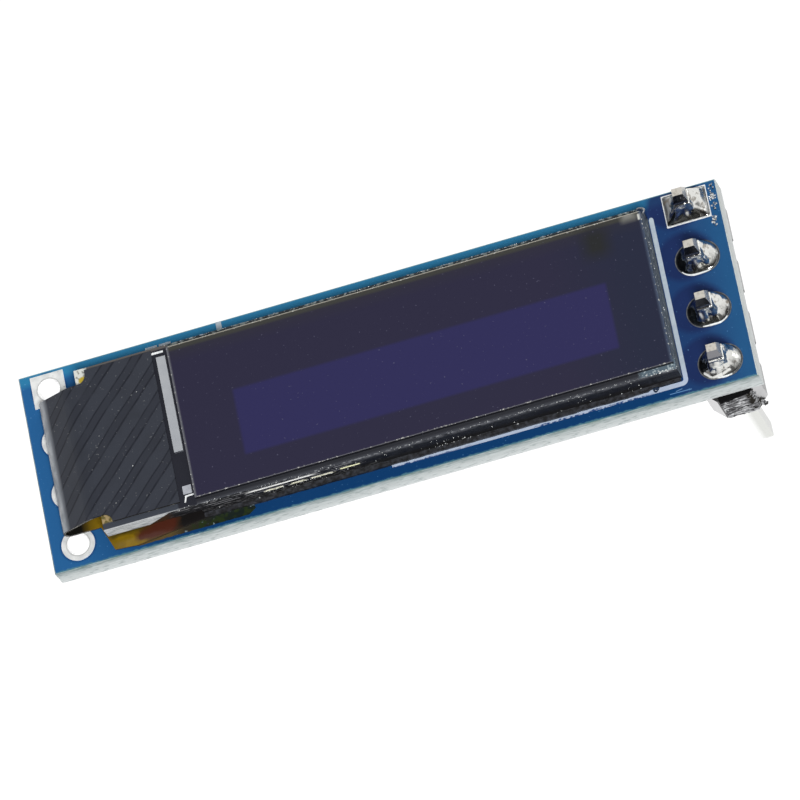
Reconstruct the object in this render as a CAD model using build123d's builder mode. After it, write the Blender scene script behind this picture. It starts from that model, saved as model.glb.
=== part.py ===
from build123d import *
import math
import os

os.makedirs("parts", exist_ok=True)

# All lengths are in millimetres. The origin is the middle of the header strip's underside, where it seats on
# a socket. +Z points up through the board to the display, and the board runs from the header towards -X.

# Rows of pads. Both have four at the usual header spacing, and number 1 lies at the +Y end.
pitch = 2.54
row_count = 4
row_distance = 29.8
row_reach = (row_count - 1) * pitch / 2
row_ys = [row_reach - n * pitch for n in range(row_count)]
free_x = -row_distance

# Header: square pins pressed into a snapped-off strip of plastic
pin_width = 0.64
mating_length = 6.0
housing_height = 2.0
housing_width = 2.5
housing_corner = 0.53
tail_height = 1.8
pinch_height = 0.45
pinch_length = 0.45
pinch_width = 0.35
tip_length = 0.5
tip_taper = 18

# Board, cut a little nearer to the rows at its far side and at the free row's end
board_thickness = 1.2
header_margin = 1.5
free_margin = 1.3
near_margin = 1.08
far_margin = 0.91
end_bevel = 0.04
pad_thickness = 0.035
board_right = header_margin
board_left = free_x - free_margin
board_near = -row_reach - near_margin
board_far = row_reach + far_margin
board_bottom = housing_height + pad_thickness
board_top = board_bottom + board_thickness

# Plated holes, which clear the pins' corners, and their pads
hole_clearance = 0.0725
plating = 0.05
pad_ring = 0.25
pad_stretch = 0.5
hole_r = pin_width / math.sqrt(2) + hole_clearance
pad_r = hole_r + pad_ring

# Solder wets each header pad almost to its edge and rises up the pin in a hollow cone
solder_rim = 0.04
solder_film = 0.05
solder_waist = 0.14
solder_waist_height = 0.34
solder_top = 0.06
solder_height = 1.05
solder_foot_r = pad_r - solder_rim
solder_waist_r = pin_width / 2 + solder_waist
solder_top_r = pin_width / 2 + solder_top

# Display panel, from the board up: foam tape, rear glass, seal, front glass and polarizer.
# The front glass is longer than the rear one at the left, and that ledge carries the chip and the flex.
layer_thickness = 0.05
tape_clearance = 0.015
rear_thickness = 0.43
seal_thickness = 0.02
glass_thickness = 0.7
polarizer_thickness = 0.2
glass_free_gap = 1.54
glass_header_gap = 1.76
glass_near_gap = 0.78
glass_far_gap = 0.96
ledge_length = 4.36
rear_inset = 0.02
seal_width = 0.6
tape_shift = 0.09
tape_right_inset = 0.3
tape_tail_gap = 0.2
polarizer_right_inset = 0.06
polarizer_near_inset = 0.27
polarizer_far_inset = 0.21
active_left_inset = 2.54
active_right_inset = 2.34
active_near_inset = 1.82
active_far_inset = 2.87
active_thickness = 0.01

glass_left = free_x + glass_free_gap
glass_right = -glass_header_gap
glass_near = board_near + glass_near_gap
glass_far = board_far - glass_far_gap
ledge_end = glass_left + ledge_length
glass_x = (glass_left + glass_right) / 2
glass_y = (glass_near + glass_far) / 2
glass_length = glass_right - glass_left
glass_width = glass_far - glass_near
tape_top = board_top + pad_thickness + 2 * layer_thickness + tape_clearance
rear_top = tape_top + rear_thickness
glass_bottom = rear_top + seal_thickness
glass_top = glass_bottom + glass_thickness

# White print round the display's place, set out from the board's edges and ends
print_width = 0.21
print_thickness = 0.02
print_right_gap = 3.05
print_near_gap = 0.46
print_far_gap = 1.07
print_near_length = 13.7
print_corner_r = 0.3
dash_gap = 0.33
dash_height = 0.12
dash_length = 0.55
dash_space = 0.1
dash_free_gap = 4.65
tick_free_gap = 8.14
tick_width = 0.25
tick_length = 0.4
print_right = board_right - print_right_gap
print_near = board_near + print_near_gap
print_far_end = board_far - print_far_gap

# Driver chip and alignment mark on the ledge
chip_gap = 0.12
chip_width = 0.42
chip_length = 4.67
chip_far_inset = 0.55
chip_thickness = 0.15
mark_width = 0.4
mark_gap = 0.12
mark_near_inset = 0.63
mark_thickness = 0.01
chip_left = ledge_end - chip_gap - chip_width
chip_far = glass_far - chip_far_inset

# Folded flex. Two layers meet on a middle line that runs flat on the ledge, bends down over the glass edge,
# slopes to a tight fold at the board's end and comes back flat on the pads below the ledge.
flex_chip_gap = 0.19
flex_near_inset = 0.31
flex_far_inset = 0.14
shoulder_inset = 0.49
neck_near_step = 0.42
neck_far_step = 0.6
notch_ease = 0.02
bend_r = 1.6
fold_r = 0.3
fold_overhang = 0.48
shoulder_outline = [(-0.36, 0.0), (0.09, 1.21), (1.16, 1.3), (3.01, 1.08)]
tail_reach = 1.1
tail_step = 0.83
contact_count = 14
contact_edge = 0.1
contact_width = 0.35
contact_length = 1.0
contact_inset = 0.15
flex_near = glass_near + flex_near_inset
flex_far = glass_far - flex_far_inset
flex_shoulder_x = glass_left + shoulder_inset
neck_near = flex_near + neck_near_step
neck_far = flex_far - neck_far_step
notch_r = neck_near_step - notch_ease
fold_left = free_x - fold_overhang
tail_end = ledge_end + tail_reach
tail_width = neck_far - neck_near + 2 * tail_step
tail_outline = [(glass_left + x, step) for x, step in shoulder_outline] + [(tail_end, tail_step)]

# Back of the board: a three-lead regulator and small two-ended parts in columns between the two rows
column_count = 9
back_edge_gap = 2.1
regulator_length = 2.9
regulator_width = 1.3
regulator_height = 0.95
regulator_standoff = 0.1
lead_width = 0.4
lead_thickness = 0.15
lead_out = 0.55
lead_foot = 0.4
lead_pitch = 0.95
lead_level = 0.45
chip_part_length = 1.6
chip_part_width = 0.8
capacitor_height = 0.8
resistor_height = 0.45
end_cap_length = 0.3
end_cap_lip = 0.02
back_pad_reach = 0.2
columns = [-(n + 1) * row_distance / column_count for n in range(column_count - 1)]
back_near = board_near + back_edge_gap
back_far = board_far - back_edge_gap
back_middle = (board_near + board_far) / 2
regulator_x = columns[1]
capacitor_places = [(columns[n], back_far) for n in (0, 2, 3, 4, 5, 6)]
capacitor_places += [(columns[n], back_near) for n in (0, 2)]
resistor_places = [(columns[n], back_near) for n in (3, 4, 5, 6)]
resistor_places += [(columns[7], back_middle)]
lead_reach = regulator_width / 2 + lead_out


# The board with its plated holes cut out
with BuildPart() as pcb:
    with BuildSketch(Plane.XY.offset(board_bottom)):
        with Locations(((board_left + board_right) / 2, (board_near + board_far) / 2)):
            Rectangle(board_right - board_left, board_far - board_near)
        with Locations([(x, y) for x in (free_x, 0) for y in row_ys]):
            Circle(hole_r + plating, mode=Mode.SUBTRACT)
    extrude(amount=board_thickness)
    top_edges = pcb.faces().sort_by(Axis.Z)[-1].edges().filter_by(Axis.Y)
    chamfer(top_edges, length=end_bevel)
pcb.part.label = "pcb"
export_step(pcb.part, "parts/pcb.step")

# White lines and ticks printed on the board
with BuildPart() as silkscreen_outline:
    with BuildSketch(Plane.XY.offset(board_top)):
        corner = (print_right - print_corner_r, print_near + print_corner_r)
        inner_r = print_corner_r - print_width
        print_start = print_right - print_near_length
        with BuildLine():
            Line((print_start, print_near), (corner[0], print_near))
            CenterArc(corner, print_corner_r, 270, 90)
            Line((print_right, corner[1]), (print_right, print_far_end))
            CenterArc((print_right - print_width / 2, print_far_end), print_width / 2, 0, 180)
            Line((print_right - print_width, print_far_end), (print_right - print_width, corner[1]))
            CenterArc(corner, inner_r, 0, -90)
            Line((corner[0], print_near + print_width), (print_start, print_near + print_width))
            Line((print_start, print_near + print_width), (print_start, print_near))
        make_face()
        for n in (0, 1):
            with Locations((free_x + dash_free_gap + n * (dash_length + dash_space), board_far - dash_gap)):
                Rectangle(dash_length, dash_height, align=(Align.MIN, Align.CENTER))
        with Locations((free_x + tick_free_gap, board_far)):
            Rectangle(tick_width, tick_length, align=(Align.CENTER, Align.MAX))
    extrude(amount=print_thickness)
silkscreen_outline.part.label = "silkscreen_outline"
export_step(silkscreen_outline.part, "parts/silkscreen_outline.step")

# Plated pads of the free row at the left: a square one and three round ones
for n, y in enumerate(row_ys, 1):
    with BuildPart() as left_pad:
        for level in (board_top, board_bottom - pad_thickness):
            with BuildSketch(Plane.XY.offset(level)):
                with Locations((free_x, y)):
                    if n == 1:
                        Rectangle(2 * pad_r, 2 * pad_r)
                    else:
                        Circle(pad_r)
                    Circle(hole_r, mode=Mode.SUBTRACT)
            extrude(amount=pad_thickness)
        with BuildSketch(Plane.XY.offset(board_bottom)):
            with Locations((free_x, y)):
                Circle(hole_r + plating)
                Circle(hole_r, mode=Mode.SUBTRACT)
        extrude(amount=board_thickness)
    left_pad.part.label = f"left_pad_{n}"
    export_step(left_pad.part, f"parts/left_pad_{n}.step")

# Plated pads of the header row: an oblong with square corners and three with round ends
for n, y in enumerate(row_ys, 1):
    with BuildPart() as header_pad:
        for level in (board_top, board_bottom - pad_thickness):
            with BuildSketch(Plane.XY.offset(level)):
                with Locations((0, y)):
                    if n == 1:
                        Rectangle(2 * pad_r + pad_stretch, 2 * pad_r)
                    else:
                        SlotOverall(2 * pad_r + pad_stretch, 2 * pad_r)
                    Circle(hole_r, mode=Mode.SUBTRACT)
            extrude(amount=pad_thickness)
        with BuildSketch(Plane.XY.offset(board_bottom)):
            with Locations((0, y)):
                Circle(hole_r + plating)
                Circle(hole_r, mode=Mode.SUBTRACT)
        extrude(amount=board_thickness)
    header_pad.part.label = f"header_pad_{n}"
    export_step(header_pad.part, f"parts/header_pad_{n}.step")

# Header pins with a tapered tip below and a tail above the board, pinched narrow where it was cut
for n, y in enumerate(row_ys, 1):
    with BuildPart() as header_pin:
        with BuildSketch(Plane.XY.offset(tip_length - mating_length)):
            with Locations((0, y)):
                Rectangle(pin_width, pin_width)
        extrude(amount=board_top + tail_height - pinch_height + mating_length - tip_length)
        with BuildSketch(Plane.XY.offset(tip_length - mating_length)):
            with Locations((0, y)):
                Rectangle(pin_width, pin_width)
        extrude(amount=-tip_length, taper=tip_taper)
        with BuildSketch(Plane.XY.offset(board_top + tail_height - pinch_height)):
            with Locations((0, y)):
                Rectangle(pin_width, pin_width)
        with BuildSketch(Plane.XY.offset(board_top + tail_height)):
            with Locations((0, y)):
                Rectangle(pinch_length, pinch_width)
        loft()
    header_pin.part.label = f"header_pin_{n}"
    export_step(header_pin.part, f"parts/header_pin_{n}.step")

# Solder: fills each header hole, lies thinly over the pad and rises up the pin tail in a hollow cone
for n, y in enumerate(row_ys, 1):
    foot = board_top + pad_thickness
    with BuildPart() as solder_joint:
        with BuildSketch(Plane.XY.offset(board_bottom - pad_thickness)):
            with Locations((0, y)):
                Circle(hole_r)
        extrude(amount=board_thickness + 2 * pad_thickness)
        with BuildSketch(Plane.XY.offset(foot)):
            with Locations((0, y)):
                if n == 1:
                    Rectangle(2 * solder_foot_r + pad_stretch, 2 * solder_foot_r)
                else:
                    SlotOverall(2 * solder_foot_r + pad_stretch, 2 * solder_foot_r)
        extrude(amount=solder_film)
        with BuildSketch(Plane.XZ.offset(-y)):
            with BuildLine():
                Line((0, foot), (solder_foot_r, foot))
                ThreePointArc((solder_foot_r, foot), (solder_waist_r, foot + solder_waist_height),
                              (solder_top_r, foot + solder_height))
                Line((solder_top_r, foot + solder_height), (0, foot + solder_height))
                Line((0, foot + solder_height), (0, foot))
            make_face()
        revolve(axis=Axis((0, y, 0), (0, 0, 1)), revolution_arc=360)
        with BuildSketch(Plane.XY.offset(board_bottom - pad_thickness)):
            with Locations((0, y)):
                Rectangle(pin_width, pin_width)
        extrude(amount=board_thickness + 2 * pad_thickness + solder_height, mode=Mode.SUBTRACT)
    solder_joint.part.label = f"solder_joint_{n}"
    export_step(solder_joint.part, f"parts/solder_joint_{n}.step")

# Header plastic: eight-sided blocks joined at narrow necks, where such strips are snapped off
with BuildPart() as header_housing:
    half_width, half_pitch = housing_width / 2, pitch / 2
    corners = [(half_width, half_pitch - housing_corner), (half_width - housing_corner, half_pitch)]
    ring = corners + [(-x, y) for x, y in reversed(corners)]
    ring = ring + [(-x, -y) for x, y in ring]
    with BuildSketch(Plane.XY):
        with Locations([(0, y) for y in row_ys]):
            Polygon(*ring, align=None)
            Rectangle(pin_width, pin_width, mode=Mode.SUBTRACT)
    extrude(amount=housing_height)
header_housing.part.label = "header_housing"
export_step(header_housing.part, "parts/header_housing.step")

# Double-sided foam tape between the board and the rear glass, as wide as the glass but stuck a little nearer
with BuildPart() as panel_tape:
    tape_left = tail_end + tape_tail_gap
    tape_right = glass_right - tape_right_inset
    with BuildSketch(Plane.XY.offset(board_top)):
        with Locations(((tape_left + tape_right) / 2, glass_y - tape_shift)):
            Rectangle(tape_right - tape_left, glass_width)
    extrude(amount=tape_top - board_top)
panel_tape.part.label = "panel_tape"
export_step(panel_tape.part, "parts/panel_tape.step")

# Rear glass that closes the display cell
rear_right = glass_right - rear_inset
rear_x = (ledge_end + rear_right) / 2
rear_length = rear_right - ledge_end
rear_width = glass_width - 2 * rear_inset
with BuildPart() as rear_glass:
    with BuildSketch(Plane.XY.offset(tape_top)):
        with Locations((rear_x, glass_y)):
            Rectangle(rear_length, rear_width)
    extrude(amount=rear_thickness)
rear_glass.part.label = "rear_glass"
export_step(rear_glass.part, "parts/rear_glass.step")

# Seal round the cell between the two glasses
with BuildPart() as glass_seal:
    with BuildSketch(Plane.XY.offset(rear_top)):
        with Locations((rear_x, glass_y)):
            Rectangle(rear_length, rear_width)
            Rectangle(rear_length - 2 * seal_width, rear_width - 2 * seal_width, mode=Mode.SUBTRACT)
    extrude(amount=seal_thickness)
glass_seal.part.label = "glass_seal"
export_step(glass_seal.part, "parts/glass_seal.step")

# Front glass, whose left end stands over the board as the ledge
with BuildPart() as display_glass:
    with BuildSketch(Plane.XY.offset(glass_bottom)):
        with Locations((glass_x, glass_y)):
            Rectangle(glass_length, glass_width)
    extrude(amount=glass_thickness)
display_glass.part.label = "display_glass"
export_step(display_glass.part, "parts/display_glass.step")

# Light-emitting layer under the front glass, inside the seal
with BuildPart() as active_area:
    active_left, active_right = ledge_end + active_left_inset, glass_right - active_right_inset
    active_near, active_far = glass_near + active_near_inset, glass_far - active_far_inset
    with BuildSketch(Plane.XY.offset(glass_bottom - active_thickness)):
        with Locations(((active_left + active_right) / 2, (active_near + active_far) / 2)):
            Rectangle(active_right - active_left, active_far - active_near)
    extrude(amount=active_thickness)
active_area.part.label = "active_area"
export_step(active_area.part, "parts/active_area.step")

# Polarizer film on the front glass
with BuildPart() as polarizer:
    polarizer_right = glass_right - polarizer_right_inset
    polarizer_near, polarizer_far = glass_near + polarizer_near_inset, glass_far - polarizer_far_inset
    with BuildSketch(Plane.XY.offset(glass_top)):
        with Locations(((ledge_end + polarizer_right) / 2, (polarizer_near + polarizer_far) / 2)):
            Rectangle(polarizer_right - ledge_end, polarizer_far - polarizer_near)
    extrude(amount=polarizer_thickness)
polarizer.part.label = "polarizer"
export_step(polarizer.part, "parts/polarizer.step")

# Driver chip, a long bar on the ledge
with BuildPart() as driver_chip:
    with BuildSketch(Plane.XY.offset(glass_top)):
        with Locations((chip_left, chip_far)):
            Rectangle(chip_width, chip_length, align=(Align.MIN, Align.MAX))
    extrude(amount=chip_thickness)
driver_chip.part.label = "driver_chip"
export_step(driver_chip.part, "parts/driver_chip.step")

# Small metal mark on the ledge, used to line the flex up
with BuildPart() as ledge_mark:
    with BuildSketch(Plane.XY.offset(glass_top)):
        with Locations((ledge_end - mark_gap, glass_near + mark_near_inset)):
            Rectangle(mark_width, mark_width, align=(Align.MAX, Align.MIN))
    extrude(amount=mark_thickness)
ledge_mark.part.label = "ledge_mark"
export_step(ledge_mark.part, "parts/ledge_mark.step")

# The flex's folded middle line: levels, the two arc centres and the slope that is tangent to both arcs
flex_high = glass_top + layer_thickness
flex_low = board_top + pad_thickness + layer_thickness
flex_end = chip_left - flex_chip_gap
bend_x = glass_left
bend_z = flex_high - bend_r
fold_x = fold_left + fold_r + layer_thickness
fold_z = flex_low + fold_r
run = bend_x - fold_x
drop = bend_z - fold_z
slope = math.atan2(drop, run) + math.asin((bend_r - fold_r) / math.hypot(run, drop))


def folded_surface(out):
    """Points along the surface that lies out mm outside the middle line, as arcs' ends and middles."""
    def on(x, z, r, angle):
        return (x + r * math.cos(angle), z + r * math.sin(angle))

    up, away = math.pi / 2, math.pi / 2 + slope
    down = 3 * math.pi / 2
    high, low = bend_r + out, fold_r + out
    return [
        (flex_end, flex_high + out),
        on(bend_x, bend_z, high, up),
        on(bend_x, bend_z, high, (up + away) / 2),
        on(bend_x, bend_z, high, away),
        on(fold_x, fold_z, low, away),
        on(fold_x, fold_z, low, (away + down) / 2),
        on(fold_x, fold_z, low, down),
        (tail_end, flex_low - out),
    ]


def draw_surface(p):
    """The edges of one folded surface, in the sketch's own line builder."""
    Line(p[0], p[1])
    ThreePointArc(p[1], p[2], p[3])
    Line(p[3], p[4])
    ThreePointArc(p[4], p[5], p[6])
    Line(p[6], p[7])


# Both layers are cut to the same outline. Above the fold it is the ledge's width with a rounded notch at
# each side down to the neck, and below it the neck widens over slanted shoulders into the tail.
flex_y_near = neck_near - max(step for _, step in tail_outline)
flex_y_far = neck_far + max(step for _, step in tail_outline)
split_z = (glass_bottom + board_top) / 2
for label, inner, outer in (("flex_base", -layer_thickness, 0), ("flex_coverlay", 0, layer_thickness)):
    with BuildPart() as flex_layer:
        with BuildSketch(Plane.XY.offset(split_z)) as upper_outline:
            with BuildLine():
                Polyline((flex_end, flex_near), (flex_shoulder_x, flex_near), (flex_shoulder_x, neck_near),
                         (fold_left, neck_near), (fold_left, neck_far), (flex_shoulder_x, neck_far),
                         (flex_shoulder_x, flex_far), (flex_end, flex_far), close=True)
            make_face()
            notches = [upper_outline.vertices().sort_by_distance((flex_shoulder_x, y, 0))[0]
                       for y in (neck_near, neck_far)]
            fillet(notches, radius=notch_r)
        extrude(amount=flex_high + layer_thickness - split_z)
        with BuildSketch(Plane.XY.offset(board_top)):
            near_side = [(x, neck_near - step) for x, step in tail_outline]
            far_side = [(x, neck_far + step) for x, step in reversed(tail_outline)]
            with BuildLine():
                Polyline((fold_left, neck_near), *near_side, *far_side, (fold_left, neck_far), close=True)
            make_face()
        extrude(amount=split_z - board_top)
        with BuildSketch(Plane.XZ.offset(-flex_y_far)):
            inside, outside = folded_surface(inner), folded_surface(outer)
            with BuildLine():
                draw_surface(outside)
                draw_surface(inside)
                Line(outside[0], inside[0])
                Line(outside[-1], inside[-1])
            make_face()
        extrude(amount=flex_y_far - flex_y_near, mode=Mode.INTERSECT)
    flex_layer.part.label = label
    export_step(flex_layer.part, f"parts/{label}.step")

# Soldered contacts under the end of the flex's tail
with BuildPart() as flex_contacts:
    contact_pitch = (tail_width - 2 * contact_edge - contact_width) / (contact_count - 1)
    first_y = (neck_near + neck_far - (contact_count - 1) * contact_pitch) / 2
    contact_x = tail_end - contact_inset - contact_length / 2
    with BuildSketch(Plane.XY.offset(board_top)):
        with Locations([(contact_x, first_y + n * contact_pitch) for n in range(contact_count)]):
            Rectangle(contact_length, contact_width)
    extrude(amount=pad_thickness)
flex_contacts.part.label = "flex_contacts"
export_step(flex_contacts.part, "parts/flex_contacts.step")

# Tinned pads on the back of the board for the regulator and the small parts
back_face = board_bottom - pad_thickness
lead_places = [(regulator_x + side * lead_pitch, 1) for side in (-1, 1)] + [(regulator_x, -1)]
with BuildPart() as back_pads:
    with BuildSketch(Plane.XY.offset(back_face)):
        for x, y in capacitor_places + resistor_places:
            for side in (-1, 1):
                with Locations((x + side * (chip_part_length + back_pad_reach - end_cap_length) / 2, y)):
                    Rectangle(end_cap_length + back_pad_reach, chip_part_width + back_pad_reach)
        for x, side in lead_places:
            with Locations((x, back_middle + side * (lead_reach - lead_foot / 2))):
                Rectangle(lead_width + back_pad_reach, lead_foot + back_pad_reach)
    extrude(amount=pad_thickness)
back_pads.part.label = "back_pads"
export_step(back_pads.part, "parts/back_pads.step")

# Regulator: a moulded body standing clear of the pads on three bent leads
with BuildPart() as regulator_body:
    body_top = back_face - regulator_standoff
    with BuildSketch(Plane.XY.offset(body_top)):
        with Locations((regulator_x, back_middle)):
            Rectangle(regulator_length, regulator_width)
    extrude(amount=-regulator_height)
    chamfer(regulator_body.faces().sort_by(Axis.Z)[0].edges(), length=regulator_standoff)
regulator_body.part.label = "regulator_body"
export_step(regulator_body.part, "parts/regulator_body.step")

with BuildPart() as regulator_leads:
    for x, side in lead_places:
        root_y = back_middle + side * regulator_width / 2
        tip_y = back_middle + side * lead_reach
        foot_y = tip_y - side * lead_foot
        shoulder_z = back_face - lead_level
        with BuildSketch(Plane.YZ.offset(x - lead_width / 2)):
            with BuildLine():
                Polyline((root_y, shoulder_z), (foot_y + side * lead_thickness, shoulder_z),
                         (foot_y + side * lead_thickness, back_face - lead_thickness),
                         (tip_y, back_face - lead_thickness), (tip_y, back_face), (foot_y, back_face),
                         (foot_y, shoulder_z + lead_thickness), (root_y, shoulder_z + lead_thickness),
                         close=True)
            make_face()
        extrude(amount=lead_width)
regulator_leads.part.label = "regulator_leads"
export_step(regulator_leads.part, "parts/regulator_leads.step")

# Small two-ended parts: a block whose metal ends stand slightly proud of its middle
for kind, places, height in (("capacitor", capacitor_places, capacitor_height),
                             ("resistor", resistor_places, resistor_height)):
    for n, (x, y) in enumerate(places, 1):
        with BuildPart() as small_part:
            with BuildSketch(Plane.XY.offset(back_face - end_cap_lip)):
                with Locations((x, y)):
                    Rectangle(chip_part_length - end_cap_length, chip_part_width - 2 * end_cap_lip)
            extrude(amount=2 * end_cap_lip - height)
            with BuildSketch(Plane.XY.offset(back_face)):
                for side in (-1, 1):
                    with Locations((x + side * (chip_part_length - end_cap_length) / 2, y)):
                        Rectangle(end_cap_length, chip_part_width)
            extrude(amount=-height)
        small_part.part.label = f"{kind}_{n}"
        export_step(small_part.part, f"parts/{kind}_{n}.step")
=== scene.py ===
import math
import random
import bpy
from mathutils import Matrix, Vector, noise


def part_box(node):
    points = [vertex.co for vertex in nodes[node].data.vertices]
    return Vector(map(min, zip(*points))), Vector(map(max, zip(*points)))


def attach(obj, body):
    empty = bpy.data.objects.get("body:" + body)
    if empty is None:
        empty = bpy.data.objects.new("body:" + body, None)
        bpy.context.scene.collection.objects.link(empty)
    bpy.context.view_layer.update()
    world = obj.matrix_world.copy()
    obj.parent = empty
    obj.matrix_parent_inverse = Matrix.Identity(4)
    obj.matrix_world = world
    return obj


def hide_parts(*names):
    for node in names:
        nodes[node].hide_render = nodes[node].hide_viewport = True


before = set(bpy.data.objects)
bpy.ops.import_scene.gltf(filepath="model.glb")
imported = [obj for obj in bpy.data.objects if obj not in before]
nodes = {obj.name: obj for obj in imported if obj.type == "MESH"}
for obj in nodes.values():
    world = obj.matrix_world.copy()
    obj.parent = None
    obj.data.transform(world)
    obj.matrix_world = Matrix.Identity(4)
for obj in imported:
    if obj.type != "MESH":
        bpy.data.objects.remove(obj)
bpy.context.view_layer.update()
MM = 0.001
ROWS = (1, 2, 3, 4)
random.seed(11)


def box_of(node):
    """A CAD node's lowest and highest corners in mm."""
    low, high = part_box(node)
    return Vector(low) / MM, Vector(high) / MM


board_lo, board_hi = box_of("pcb")
glass_lo, glass_hi = box_of("display_glass")
rear_lo, rear_hi = box_of("rear_glass")
polar_lo, polar_hi = box_of("polarizer")
film_lo, film_hi = box_of("flex_coverlay")
house_lo, house_hi = box_of("header_housing")
pin_boxes = [box_of(f"header_pin_{n}") for n in ROWS]
pin_ys = [(lo.y + hi.y) / 2 for lo, hi in pin_boxes]
pad_top = box_of("header_pad_1")[1].z
left_pads = [(lo + hi) / 2 for lo, hi in (box_of(f"left_pad_{n}") for n in ROWS)]

# Sizes of the CAD model in mm that no box tells
HOLE_R = 0.525
PLUG_R = 0.52
PIN_HALF = 0.32
STRIP_CORNER = 0.53

# Where the pale left end of the front glass's near wall stops, and the line along which the near white print
# is worn, in mm
PALE_END = -25.2
WORN_LINE = -4.36


# Shader helpers. Places are in mm in the part's own frame, because every node's object sits at the origin.

def rgb(r, g, b):
    """Display values 0 to 255 as linear light."""
    return tuple(c / 255 / 12.92 if c <= 10 else ((c / 255 + 0.055) / 1.055) ** 2.4 for c in (r, g, b))


class Paint:
    """One material, whose colour is built up in layers."""

    def __init__(self, name, base):
        self.material = bpy.data.materials.new(name)
        self.material.use_nodes = True
        self.tree = self.material.node_tree
        self.tree.nodes.clear()
        self.shader = self.tree.nodes.new("ShaderNodeBsdfPrincipled")
        out = self.tree.nodes.new("ShaderNodeOutputMaterial")
        self.tree.links.new(self.shader.outputs[0], out.inputs[0])
        coord = self.tree.nodes.new("ShaderNodeTexCoord")
        scale = self.tree.nodes.new("ShaderNodeVectorMath")
        scale.operation = "SCALE"
        scale.inputs["Scale"].default_value = 1 / MM
        self.tree.links.new(coord.outputs["Object"], scale.inputs[0])
        self.place = scale.outputs[0]
        self.x, self.y, self.z = self.split(self.place)
        geometry = self.tree.nodes.new("ShaderNodeNewGeometry")
        self.nx, self.ny, self.nz = self.split(geometry.outputs["True Normal"])
        self.tone = base

    def feed(self, socket, value):
        """Links a socket to a value of the tree, or sets it to a number or colour."""
        if isinstance(value, bpy.types.NodeSocket):
            self.tree.links.new(value, socket)
        else:
            socket.default_value = (*value, 1.0) if isinstance(value, tuple) else value

    def split(self, vector):
        node = self.tree.nodes.new("ShaderNodeSeparateXYZ")
        self.tree.links.new(vector, node.inputs[0])
        return node.outputs[0], node.outputs[1], node.outputs[2]

    def math(self, kind, a, b=0.0):
        node = self.tree.nodes.new("ShaderNodeMath")
        node.operation = kind
        self.feed(node.inputs[0], a)
        self.feed(node.inputs[1], b)
        return node.outputs[0]

    def both(self, *values):
        """The product of shares: all of them hold."""
        total = values[0]
        for value in values[1:]:
            total = self.math("MULTIPLY", total, value)
        return total

    def either(self, *values):
        """The largest of shares: at least one holds."""
        total = values[0]
        for value in values[1:]:
            total = self.math("MAXIMUM", total, value)
        return total

    def ramp(self, value, low, high):
        """0 at low and 1 at high, whichever of the two is larger."""
        node = self.tree.nodes.new("ShaderNodeMapRange")
        self.feed(node.inputs["Value"], value)
        node.inputs["From Min"].default_value = low
        node.inputs["From Max"].default_value = high
        return node.outputs[0]

    def facing(self, normal, way=1):
        """1 on the faces that look along an axis, or against it where way is -1."""
        return self.ramp(normal, 0.5 * way, 0.6 * way)

    def cut_sides(self):
        """1 on the near and far cut edges of a thin film."""
        return self.either(self.ramp(self.ny, -0.6, -0.7), self.ramp(self.ny, 0.6, 0.7))

    def band(self, value, low, high, soft=0.02):
        """1 between low and high."""
        return self.both(self.ramp(value, low - soft, low + soft), self.ramp(value, high + soft, high - soft))

    def patch(self, x_low, x_high, y_low, y_high, soft):
        """1 inside a rectangle in the XY plane."""
        return self.both(self.band(self.x, x_low, x_high, soft), self.band(self.y, y_low, y_high, soft))

    def stretched(self, x, y, z):
        """The place with each axis scaled, for noise that is drawn out."""
        node = self.tree.nodes.new("ShaderNodeMapping")
        self.tree.links.new(self.place, node.inputs["Vector"])
        node.inputs["Scale"].default_value = (x, y, z)
        return node.outputs[0]

    def noise(self, scale, detail, vector=None):
        """Noise with about scale features per mm."""
        node = self.tree.nodes.new("ShaderNodeTexNoise")
        self.tree.links.new(vector or self.place, node.inputs["Vector"])
        node.inputs["Scale"].default_value = scale
        node.inputs["Detail"].default_value = detail
        return node.outputs[0]

    def flecks(self, scale, low, high, detail=2.0, vector=None):
        """1 where noise is past high, which leaves flecks of about a feature's size."""
        return self.ramp(self.noise(scale, detail, vector), low, high)

    def strayed(self, value, scale, detail, reach):
        """A value that noise moves by up to half of reach either way, for a ragged edge."""
        stray = self.math("SUBTRACT", self.noise(scale, detail), 0.5)
        return self.math("ADD", value, self.math("MULTIPLY", stray, reach))

    def round_spot(self, cx, cy, rx, ry, soft):
        """1 inside an ellipse in the XY plane, fading over soft of its radius."""
        dx = self.math("DIVIDE", self.math("SUBTRACT", self.x, cx), rx)
        dy = self.math("DIVIDE", self.math("SUBTRACT", self.y, cy), ry)
        square = self.math("ADD", self.math("MULTIPLY", dx, dx), self.math("MULTIPLY", dy, dy))
        return self.ramp(self.math("SQRT", square), 1 + soft, 1 - soft)

    def streak(self, start, stop, width, soft=0.01):
        """1 along a straight line from start to stop in the XY plane."""
        run = Vector(stop) - Vector(start)
        along, across = run.normalized(), Vector((-run.y, run.x)).normalized()
        s = self.math("ADD", self.math("MULTIPLY", self.x, along.x), self.math("MULTIPLY", self.y, along.y))
        t = self.math("ADD", self.math("MULTIPLY", self.x, across.x), self.math("MULTIPLY", self.y, across.y))
        s0, t0 = Vector(start).dot(along), Vector(start).dot(across)
        return self.both(self.band(s, s0, s0 + run.length, soft),
                         self.band(t, t0 - width / 2, t0 + width / 2, soft))

    def streaks(self, lines, soft):
        """1 along any of several lines, each a start, a stop and a width."""
        return self.either(*[self.streak(start, stop, width, soft) for start, stop, width in lines])

    def over(self, share, colour):
        """Lays a colour over what is there, in the given share."""
        node = self.tree.nodes.new("ShaderNodeMix")
        node.data_type = "RGBA"
        self.feed(node.inputs["Factor"], share)
        self.feed(node.inputs[6], self.tone)
        self.feed(node.inputs[7], colour)
        self.tone = node.outputs[2]

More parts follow.
